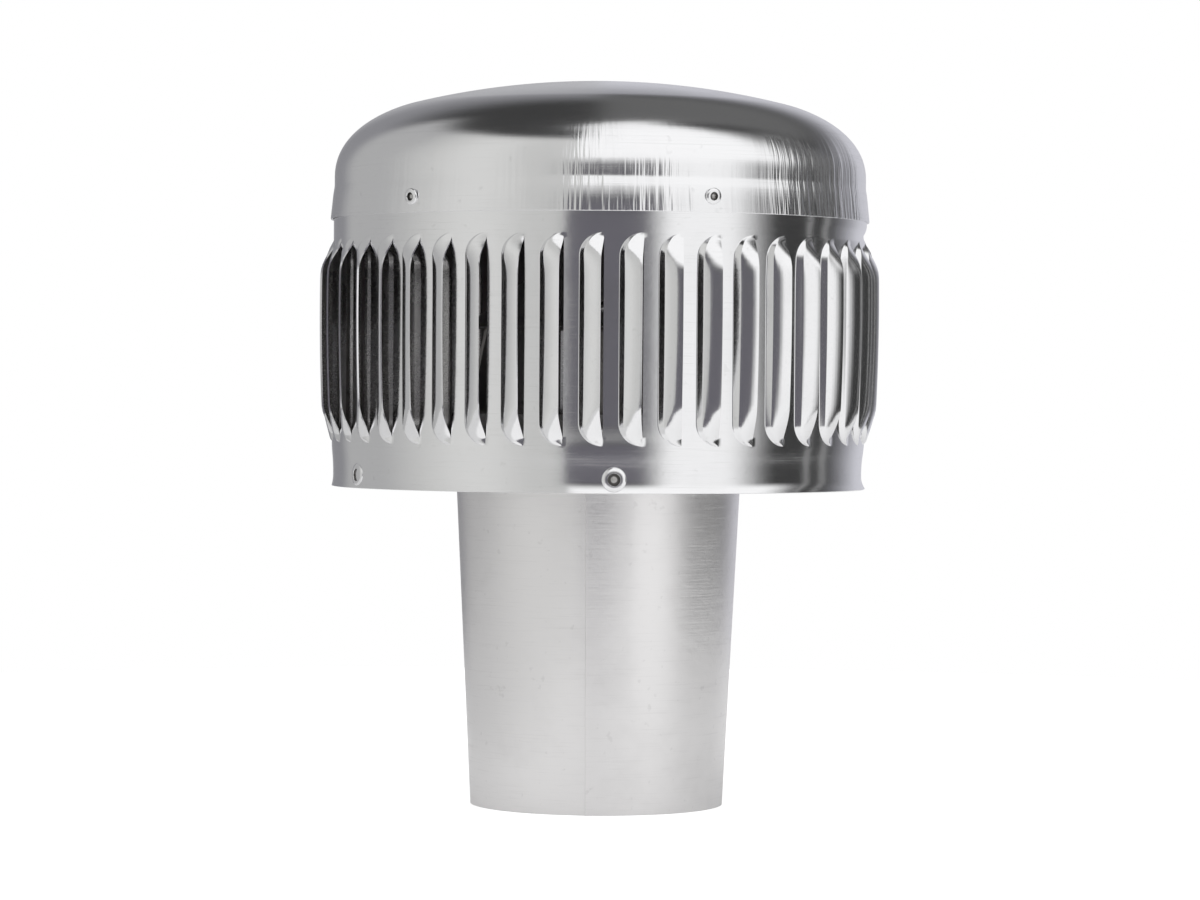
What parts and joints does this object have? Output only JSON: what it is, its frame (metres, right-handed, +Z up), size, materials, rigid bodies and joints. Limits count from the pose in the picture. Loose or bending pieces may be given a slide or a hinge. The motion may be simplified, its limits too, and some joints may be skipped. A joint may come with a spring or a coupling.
{
  "type": "vent cap",
  "caption": "Riveted sheet-aluminium vent cap: shallow dome over a louvered drum, tapered collar below, cone deflector inside.",
  "frame": {"origin": "centre of the collar's bottom rim", "axes": "+Z up along the cap's axis, towards the dome; -Y is the side that faces the camera in the picture, +X its right"},
  "size_m": [0.2156, 0.2156, 0.2772],
  "materials": {
    "collar_sheet": "satin, faintly brushed round",
    "skirt_sheet": "bright mill finish",
    "dome_sheet": "spun, nearly polished",
    "pan_sheet": "dull mill finish",
    "deflector_sheet": "dull mill finish",
    "leg_strap": "dull mill finish",
    "rivet_body": "bright, smooth",
    "rivet_pin": "broken steel pin end"
  },
  "bodies": {
    "root": {"collar": "collar_sheet", "louvered_skirt": "skirt_sheet", "dome_cap": "dome_sheet", "base_pan": "pan_sheet", "cone_deflector": "deflector_sheet", "leg_front": "leg_strap", "leg_right": "leg_strap", "leg_left": "leg_strap", "rim_rivets": "rivet_body", "rim_rivet_pins": "rivet_pin", "base_rivets": "rivet_body", "base_rivet_pins": "rivet_pin", "seam_rivets": "rivet_body", "seam_rivet_pins": "rivet_pin", "collar_rivets": "rivet_body", "collar_rivet_pins": "rivet_pin", "leg_foot_rivets": "rivet_body", "leg_foot_rivet_pins": "rivet_pin", "leg_head_rivets": "rivet_body", "leg_head_rivet_pins": "rivet_pin"}
  },
  "joints": []
}
